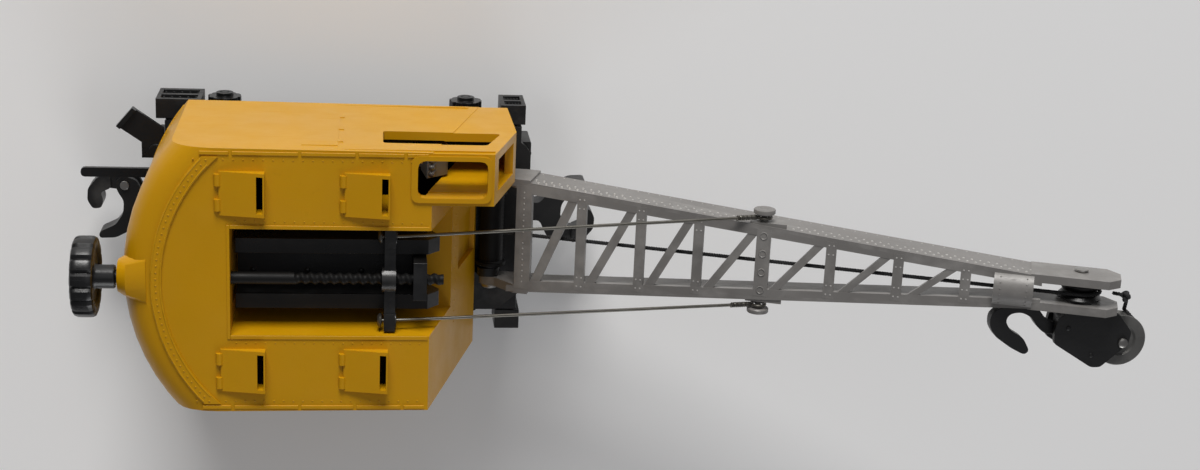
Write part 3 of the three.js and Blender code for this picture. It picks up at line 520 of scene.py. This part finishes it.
# ---------------------------------------------------------------- boom
piece("boom_frame", Shape().node("boom_frame", 0.03), BOOM, "boom", ["boom_frame"], bevel=0.14)
detail = Shape()
for side in (1, -1):
    # two staggered rows along each web, clear of the stay pin's pad
    for k in range(64):
        s = -12.6 + k * 2.2
        if -4 < s - STAY_S < 6.6:
            continue
        w = half_width(s)
        nrm = boom_dir(SLOPE, side, 0)
        detail.dome(on_boom(s, side * w, -1.7), nrm, 0.34, 0.22, 8)
        if s + 1.1 < 127:
            detail.dome(on_boom(s + 1.1, side * half_width(s + 1.1), -3.9), nrm, 0.34, 0.22, 8)
    # one row near the web's lower edge
    for k in range(46):
        s = -9 + k * 3.0
        detail.dome(on_boom(s, side * half_width(s), -10.4), boom_dir(SLOPE, side, 0), 0.22, 0.12, 8)
    # the ends of the cross members
    for i, s in enumerate(PANELS):
        w = half_width(s)
        for d in ((-0.62, 0.62) if i != 3 else ()):
            detail.dome(on_boom(s + d, side * (w - 2.1), 0.05), boom_dir(0, 0, 1), 0.24, 0.13, 8)
            detail.dome(on_boom(s + d, side * (w - 4.6), 0.05), boom_dir(0, 0, 1), 0.24, 0.13, 8)
    # the end plate and the doubled plate behind it
    for k in range(8):
        detail.dome(on_boom(-11.6, side * (1.6 + k * 1.6), 0.05), boom_dir(0, 0, 1), 0.24, 0.13, 8)
    for k in range(26):
        s = -12.4 + k * 1.1
        t = -2.8 if k % 2 else -0.75
        detail.dome(on_boom(s, side * half_width(s), t), boom_dir(SLOPE, side, 0), 0.24, 0.16, 8)
# rivets in the boom's plastic, coloured lighter than the boom as a painted highlight
piece("boom_rivets", detail, RIVET_PAINTED_HIGHLIGHT, "boom", bevel=0)
# rings on the middle plate and rivets on the arched plate
rings = Shape()
for y in (-7.6, -2.6, 2.6, 7.6):
    path = [on_boom(PANELS[3] + 0.95 * math.cos(a * math.pi / 12), y + 0.95 * math.sin(a * math.pi / 12), 0.08)
            for a in range(24)]
    rings.tube(path, 0.16, 6, closed=True)
for x0 in (117.4, 124.2):
    for a in range(24, 160, 19):
        y, t = 5 * math.cos(math.radians(a)), -2.4 + 5 * math.sin(math.radians(a))
        rings.dome(on_boom(x0, y, t), boom_dir(0, math.cos(math.radians(a)), math.sin(math.radians(a))),
                   0.22, 0.12, 8)
piece("boom_bosses", rings, BOOM, "boom", bevel=0)

# stay pins, and stay rods with a ring at the boom, a twisted stretch beside it and a bead behind the bar
CX, _, CZ = on_boom(STAY_S, 0, STAY_T)
LEAN = math.atan2(SCREW_Z - CZ, BAR_X - CX)
for side, k in (("left", 1), ("right", -1)):
    cap = Shape().lathe([(0.2, 9.0), (0.8, 9.05), (0.8, 11.1), (1.2, 11.15), (1.2, 11.35), (0.8, 11.4),
                         (0.8, 13.1), (2.3, 13.2), (2.75, 13.28), (2.95, 13.5), (2.95, 14.3), (2.85, 14.5),
                         (2.55, 14.6), (1.3, 14.55), (1.1, 14.42), (0.1, 14.4)], (CX, 0, CZ), (0, k, 0), 44)
    piece("stay_cap_" + side, cap, BOOM, "boom", ["stay_cap_" + side], bevel=0)
    rod = Shape()
    rod.tube([(CX + 1.9 * math.cos(a * math.pi / 16), k * STAY_EYE, CZ + 1.9 * math.sin(a * math.pi / 16))
              for a in range(32)], 0.42, 10, closed=True)
    e = Vector((CX + 1.9 * math.cos(LEAN), k * STAY_EYE, CZ + 1.9 * math.sin(LEAN)))
    b = Vector((BAR_X - 2.0, k * STAY_Y, SCREW_Z))
    m = Vector((BAR_X + 4, k * STAY_Y, SCREW_Z - 0.5))
    rod.tube([b, b.lerp(m, 0.6), m, m.lerp(e, 0.25), m.lerp(e, 0.6), e], 0.43, 12)
    d = (m - e).normalized()
    u = d.orthogonal().normalized()
    w = d.cross(u)
    rod.tube([e + d * (0.4 + 5.6 * i / 130) + u * (0.5 * math.cos(i * 0.5)) + w * (0.5 * math.sin(i * 0.5))
              for i in range(131)], 0.27, 6)
    rod.lathe([(0.2, -2.95), (1.2, -2.9), (1.75, -2.5), (1.9, -2.2), (1.75, -1.85), (0.5, -1.7)],
              (BAR_X - 0.2, k * STAY_Y, SCREW_Z), (1, 0, 0), 24)
    piece("stay_rod_" + side, rod, WIRE, "stay_" + side, ["stay_rod_" + side], bevel=0)


def groove_wheel(r, rim, half, bore):
    """Profile of a grooved wheel: groove radius, rim radius, half thickness and bore radius."""
    return [(bore, -half * 0.75), (rim * 0.55, -half * 0.75), (rim * 0.62, -half * 0.97), (rim * 0.97, -half),
            (rim, -half * 0.93), (rim, -half * 0.82), (r + 0.25, -0.62), (r, -0.3), (r, 0.3), (r + 0.25, 0.62),
            (rim, half * 0.82), (rim, half * 0.93), (rim * 0.97, half), (rim * 0.62, half * 0.97),
            (rim * 0.55, half * 0.75), (bore, half * 0.75)]


piece("head_sheave", Shape().lathe(groove_wheel(4.6, 5.8, 2.1, 1.35), SHEAVE_AT, (0, 1, 0), 56), BLACK,
      "head_wheel", ["head_sheave"], bevel=0)
sheave_pin = Shape().lathe([(0.2, -5.0), (0.9, -5.0), (1.05, -4.8), (1.05, 5.0), (1.8, 5.1), (1.9, 5.3),
                            (1.8, 5.6), (1.2, 5.7), (0.2, 5.72)], SHEAVE_AT, (0, 1, 0), 32)
piece("sheave_pin", sheave_pin, STEEL, "boom", ["sheave_pin"], bevel=0)
drum = Shape().lathe([(1.8, -10.8), (4.0, -10.8), (4.2, -10.6), (4.2, -9.8), (3.4, -9.5)] +
                     [(3.3 + 0.1 * math.sin(i * math.pi / 2) ** 2, -9.4 + 0.55 * i) for i in range(35)] +
                     [(3.4, 9.5), (4.2, 9.8), (4.2, 10.6), (4.0, 10.8), (1.8, 10.8)], PIVOT_AT, (0, 1, 0), 48)
piece("hoist_drum", drum, DULL, "drum", ["hoist_drum"], bevel=0)

# hoist line from the drum over the head sheave, the knot and the falls round the block's pulley
CORD_R = 0.58
start = (PIVOT[0] + 3.9 * math.sin(-TILT) + 2, 0, PIVOT[1] + 4.75)
head = [(x, 0, z) for x, z in arc(SHEAVE[0], SHEAVE[1], 5.25, -12, 90 + BOOM_TILT, 14)][::-1]
piece("hoist_line", Shape().strands([start] + head, CORD_R), CORD, "boom", ["hoist_line"], bevel=0)
FALLS_TOP = (BLOCK[0] + 2.0, -7.2, 77.9)
K = on_boom(149.7, 0, -4.2)
knot = Shape()
loop = []  # a trefoil
for i in range(72):
    a = 2 * math.pi * i / 72
    loop.append((K[0] + 0.5 * math.sin(3 * a), 0.3 + 0.62 * (math.cos(a) - 2 * math.cos(2 * a)) * 0.62,
                 K[2] + 0.62 * (math.sin(a) + 2 * math.sin(2 * a)) * 0.62))
knot.tube(loop, 0.52, 8, closed=True)
knot.strands([(K[0] - 2.4, 0.2, K[2] - 2.9), (K[0] - 1.2, 0.3, K[2] - 1.8), (K[0], 0.2, K[2] - 0.6)], 0.56)
knot.strands([(K[0] + 0.4, 0.2, K[2]), (K[0] + 1.4, -0.3, K[2] - 1.2), (K[0] + 2.0, -0.5, K[2] - 2.8),
              (BLOCK[0] - 1, -0.8, BLOCK[2] + 4.2), (BLOCK[0] + 0.6, -3.6, BLOCK[2] + 1.6), FALLS_TOP], 0.56)
piece("line_knot", knot, CORD, "boom", ["line_knot"], bevel=0)

wrap = [(x, y, BLOCK[2]) for x, y in arc(BLOCK[0], BLOCK[1], 6.5, -120, 55, 22)][::-1]
falls = Shape().strands([FALLS_TOP, (BLOCK[0] + 2.9, -8.0, 79.0)] + wrap, CORD_R)
rope = piece("hoist_falls", falls, CORD, None, ["hoist_falls"], bevel=0)
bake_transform(rope)

# ---------------------------------------------------------------- hook block
for half, up in (("upper", 1), ("lower", -1)):
    z = BLOCK[2] + up * 4.1
    plate = Shape().node("block_plate_" + half)
    for dx, dy in ((-15.4, 4.0), (-8.2, -3.6)):
        plate.dome((BLOCK[0] + dx, BLOCK[1] + dy, z), (0, 0, up), 0.7, 0.3, 14)
    piece("block_plate_" + half, plate, DIECAST, "hook_block", ["block_plate_" + half], bevel=0.3, segments=3)
piece("block_spacer", Shape().node("block_spacer"), DIECAST, "hook_block", ["block_spacer"], bevel=0.3)
piece("load_hook", Shape().node("load_hook"), DIECAST, "hook_block", ["load_hook"], bevel=0.85, segments=4,
      angle=40)
piece("block_pulley", Shape().lathe(groove_wheel(5.9, 7.1, 2.1, 1.35), BLOCK, (0, 0, 1), 64), GREY, "pulley",
      ["block_pulley"], bevel=0)
block_pin = Shape().lathe([(0.2, -4.8), (1.0, -4.8), (1.25, -4.65), (1.35, -4.3), (1.05, -4.2), (1.05, 4.2),
                           (1.35, 4.3), (1.25, 4.65), (1.0, 4.8), (0.2, 4.8)], BLOCK, (0, 0, 1), 32)
piece("block_pin", block_pin, STEEL, "hook_block", ["block_pin"], bevel=0)

# ---------------------------------------------------------------- chassis and running gear
AXLE_X, AXLE_Z = 33.7, 11.2
piece("chassis_frame", Shape().node("chassis_frame"), DIECAST, "chassis", ["chassis_frame"], bevel=0.35)
bolts = Shape()
for s in (1, -1):
    for x in (-46, -21, -14, -7, 0, 7, 14, 21, 46):
        bolts.dome((x, s * 26.8, 21.4), (0, s, 0), 0.55, 0.3, 12)
    for x in (-37, -30.4, 30.4, 37):
        bolts.dome((x, s * 26.8, 18.6), (0, s, 0), 0.8, 0.4, 12)
    for y in (-18, -9, 9, 18):
        bolts.dome((s * 52, y, 18.8), (s, 0, 0), 0.7, 0.35, 12)
piece("chassis_bolts", bolts, DIECAST, "chassis", bevel=0)
cover = Shape().node("gear_cover")
for x in (-17, 17):
    for y in (-7, 7):
        cover.screw_head((x, y, 4.6), (0, 0, -1), 1.3, 0.4)
piece("gear_cover", cover, BLACK, "chassis", ["gear_cover"], bevel=0.3)
piece("pickup_bracket", Shape().node("pickup_bracket"), STEEL, "chassis", ["pickup_bracket"], bevel=0.15)
roller = Shape().lathe([(0.2, -5.7), (1.2, -5.7), (1.5, -5.4), (1.42, -3), (1.5, 0), (1.42, 3), (1.5, 5.4),
                        (1.2, 5.7), (0.2, 5.7)], (17.6, 0, 2.4), (0, 1, 0), 32)
piece("pickup_roller", roller, STEEL, "roller", ["pickup_roller"], bevel=0)
# half section of a wheel: (radius, distance from the middle of the axle)
WHEEL = [(1.95, 14.3), (10.6, 14.3), (11.15, 14.55), (11.2, 14.9), (10.95, 15.3), (10.0, 15.9), (9.88, 16.3),
         (9.6, 19.5), (9.4, 19.8), (8.1, 19.8), (7.8, 19.6), (7.4, 18.5), (3.7, 18.4), (3.4, 18.7), (3.2, 20.6),
         (2.9, 20.7), (1.95, 20.7)]
for end, k in (("front", 1), ("rear", -1)):
    X = AXLE_X * k
    wheelset = "wheelset_" + end
    axle = Shape().lathe([(0.2, -27.2), (1.3, -27.2), (1.6, -26.9), (1.6, 26.9), (1.3, 27.2), (0.2, 27.2)],
                         (X, 0, AXLE_Z), (0, 1, 0), 28)
    piece("axle_" + end, axle, STEEL, wheelset, ["axle_" + end], bevel=0)
    for side, m in (("left", 1), ("right", -1)):
        corner = "_%s_%s" % (end, side)
        wheel = Shape().lathe(WHEEL, (X, 0, AXLE_Z), (0, m, 0), 64)
        for i in range(8):
            a = i * math.pi / 4
            wheel.dome((X + 5.5 * math.cos(a), m * 18.4, AXLE_Z + 5.5 * math.sin(a)), (0, m, 0), 0.7, 0.35, 10)
        piece("wheel" + corner, wheel, STEEL, wheelset, ["wheel" + corner], bevel=0)
        cap = Shape().node("journal_cap" + corner)
        cap.screw_head((X, m * 32.0, AXLE_Z), (0, m, 0), 1.6, 0.4)
        piece("journal_cap" + corner, cap, BLACK, "chassis", ["journal_cap" + corner], bevel=0.22)
        step = Shape().node("step" + corner)
        # treads on the two rungs
        s0, s1 = (43, 50) if k > 0 else (-51.4, -39.2)
        y0, y1 = (28.6, 32.4) if m > 0 else (-32.4, -28.6)
        for z in (12.0, 18.0):
            for i in range(5):
                x = s0 + 1.7 + i * (s1 - s0 - 3.4) / 4
                step.box(x - 0.25, x + 0.25, y0, y1, z - 0.1, z + 0.22)
        piece("step" + corner, step, DIECAST, "chassis", ["step" + corner], bevel=0.18)
    for part, body in (("coupler_", "drawbar_"), ("knuckle_", "claw_")):
        piece(part + end, Shape().node(part + end), DIECAST, body + end, [part + end], bevel=0.55, segments=3,
              angle=40)
    for part, body in (("knuckle_pin_" + end, "drawbar_" + end), ("coupler_pin_" + end, "chassis")):
        piece(part, Shape().node(part), STEEL, body, [part], bevel=0.15)
for part, body in (("lever_forward", "drive_lever"), ("lever_winch", "winch_lever")):
    piece(part, Shape().node(part), BLACK, body, [part], bevel=0.4, segments=3)

# ---------------------------------------------------------------- floor, light and camera
floor = bpy.data.objects.new("floor", bpy.data.meshes.new("floor"))
floor.data.from_pydata([(x, y, -DROP * MM) for x, y in ((-3, -3), (3, -3), (3, 3), (-3, 3))], [], [[0, 1, 2, 3]])
bpy.context.scene.collection.objects.link(floor)
pale = bpy.data.materials.new("pale_floor")
pale.use_nodes = True
tree = pale.node_tree
surface = tree.nodes["Principled BSDF"]
surface.inputs["Roughness"].default_value = 0.6
mottle = tree.nodes.new("ShaderNodeTexNoise")
mottle.inputs["Scale"].default_value = 3.0
ramp = tree.nodes.new("ShaderNodeMapRange")
ramp.inputs["To Min"].default_value, ramp.inputs["To Max"].default_value = 0.90, 0.95
tree.links.new(mottle.outputs["Fac"], ramp.inputs["Value"])
tree.links.new(ramp.outputs["Result"], surface.inputs["Base Color"])
floor.data.materials.append(pale)


def area(name, loc, target, size, power, colour):
    data = bpy.data.lights.new(name, "AREA")
    data.shape, data.size, data.energy, data.color = "DISK", size, power, colour
    lamp = bpy.data.objects.new(name, data)
    lamp.location = loc
    lamp.rotation_euler = (Vector(target) - Vector(loc)).to_track_quat("-Z", "Y").to_euler()
    bpy.context.scene.collection.objects.link(lamp)


area("key", (-0.1, 2.6, 1.1), (0.05, 0, 0.03), 1.4, 82.0, (1.0, 0.985, 0.965))
area("overhead", (0.3, 0.5, 1.3), (0.05, 0, 0), 1.0, 1.0, (0.97, 0.98, 1.0))
area("fill", (0.7, -2.4, 1.1), (0.05, 0, 0.03), 1.6, 20.0, (0.98, 0.99, 1.0))
world = bpy.data.worlds.new("studio")
world.use_nodes = True
world.node_tree.nodes["Background"].inputs["Color"].default_value = (0.80, 0.80, 0.83, 1)
world.node_tree.nodes["Background"].inputs["Strength"].default_value = 0.185
bpy.context.scene.world = world
bpy.context.scene.view_settings.view_transform = "Standard"

# the photograph's viewing angle
camera = bpy.data.objects.new("camera", bpy.data.cameras.new("camera"))
camera.data.lens, camera.data.sensor_width = 56.708, 36.0
camera.data.clip_start, camera.data.clip_end = 0.01, 20.0
camera.matrix_world = Matrix(((0.99267765, -0.01116808, -0.1202762, 0.007402),
                              (0.04570064, 0.95642657, 0.28837419, 0.151535),
                              (0.11181476, -0.29175931, 0.94993366, 0.533882), (0, 0, 0, 1)))
bpy.context.scene.collection.objects.link(camera)
bpy.context.scene.camera = camera
